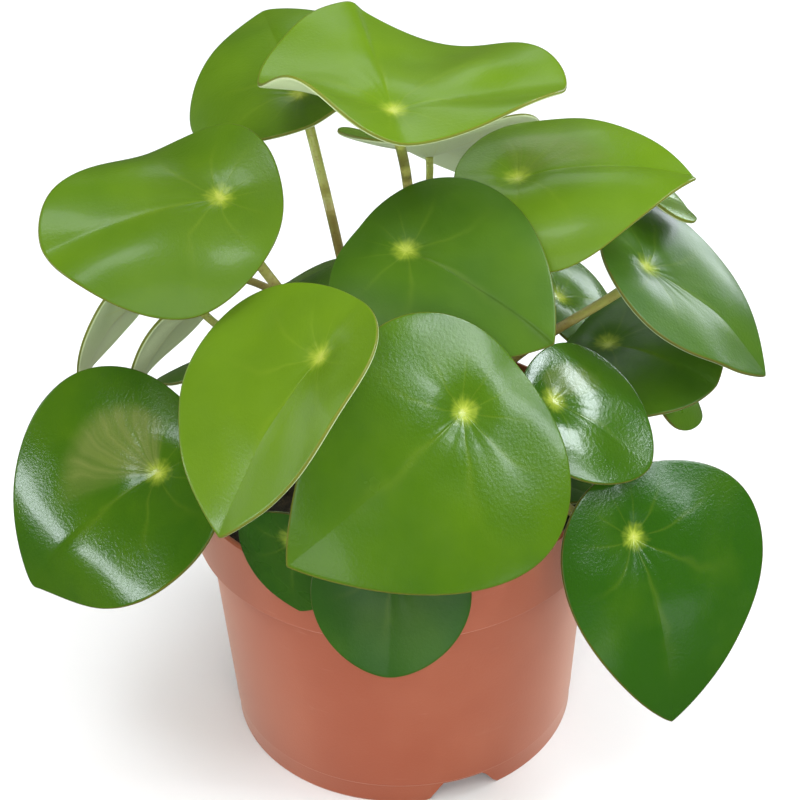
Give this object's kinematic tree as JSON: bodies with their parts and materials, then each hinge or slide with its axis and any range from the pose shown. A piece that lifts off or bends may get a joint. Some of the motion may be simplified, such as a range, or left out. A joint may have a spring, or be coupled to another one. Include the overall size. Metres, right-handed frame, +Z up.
{
  "type": "potted plant",
  "caption": "Raindrop peperomia with round glossy teardrop leaves on stalks, growing in a plastic nursery pot filled with soil.",
  "frame": {"origin": "on the pot's axis at the level of the surface that it stands on", "axes": "+Z up along the pot's axis, -Y towards the plant's front, +X towards its right side seen from the front"},
  "size_m": [0.2134, 0.1731, 0.2124],
  "materials": {
    "pot": "thin terracotta-coloured plastic, satin",
    "soil": "dark loose potting soil",
    "stem_left": "fleshy stem and stalks, green with a red-brown flush",
    "stem_middle": "fleshy stem and stalks, green with a red-brown flush",
    "stem_right": "fleshy stem and stalks, green with a red-brown flush",
    "stem_back": "fleshy stem and stalks, green with a red-brown flush",
    "leaf_top": "fleshy glossy leaf, fresh green",
    "leaf_back_left_high": "fleshy glossy leaf, fresh green",
    "leaf_back_high": "fleshy glossy leaf, fresh green",
    "leaf_left_high": "fleshy glossy leaf, fresh green",
    "leaf_left_low": "fleshy glossy leaf, deep green",
    "leaf_left_outer": "fleshy glossy leaf, fresh green",
    "leaf_left_inner": "fleshy glossy leaf, fresh green",
    "leaf_front_left": "fleshy glossy leaf, fresh green",
    "leaf_front": "fleshy glossy leaf, fresh green",
    "leaf_front_small": "fleshy glossy leaf, deep green",
    "leaf_front_left_small": "fleshy glossy leaf, deep green",
    "leaf_centre": "fleshy glossy leaf, deep green",
    "leaf_young_left": "fleshy glossy leaf, fresh green",
    "leaf_young_right": "fleshy glossy leaf, deep green",
    "leaf_right_high": "fleshy glossy leaf, fresh green",
    "leaf_right": "fleshy glossy leaf, deep green",
    "leaf_right_low": "fleshy glossy leaf, deep green",
    "leaf_right_round": "fleshy glossy leaf, deep green",
    "leaf_front_right": "fleshy glossy leaf, deep green",
    "leaf_right_upper": "fleshy glossy leaf, fresh green",
    "leaf_right_back": "fleshy glossy leaf, deep green",
    "leaf_back_right": "fleshy glossy leaf, deep green",
    "leaf_back_left": "fleshy glossy leaf, fresh green",
    "leaf_back_left_low": "fleshy glossy leaf, deep green",
    "leaf_back_low": "fleshy glossy leaf, deep green"
  },
  "bodies": {
    "root": {"pot": "pot", "soil": "soil", "stem_left": "stem_left", "stem_middle": "stem_middle", "stem_right": "stem_right", "stem_back": "stem_back", "leaf_top": "leaf_top", "leaf_back_left_high": "leaf_back_left_high", "leaf_back_high": "leaf_back_high", "leaf_left_high": "leaf_left_high", "leaf_left_low": "leaf_left_low", "leaf_left_outer": "leaf_left_outer", "leaf_left_inner": "leaf_left_inner", "leaf_front_left": "leaf_front_left", "leaf_front": "leaf_front", "leaf_front_small": "leaf_front_small", "leaf_front_left_small": "leaf_front_left_small", "leaf_centre": "leaf_centre", "leaf_young_left": "leaf_young_left", "leaf_young_right": "leaf_young_right", "leaf_right_high": "leaf_right_high", "leaf_right": "leaf_right", "leaf_right_low": "leaf_right_low", "leaf_right_round": "leaf_right_round", "leaf_front_right": "leaf_front_right", "leaf_right_upper": "leaf_right_upper", "leaf_right_back": "leaf_right_back", "leaf_back_right": "leaf_back_right", "leaf_back_left": "leaf_back_left", "leaf_back_left_low": "leaf_back_left_low", "leaf_back_low": "leaf_back_low"}
  },
  "joints": []
}
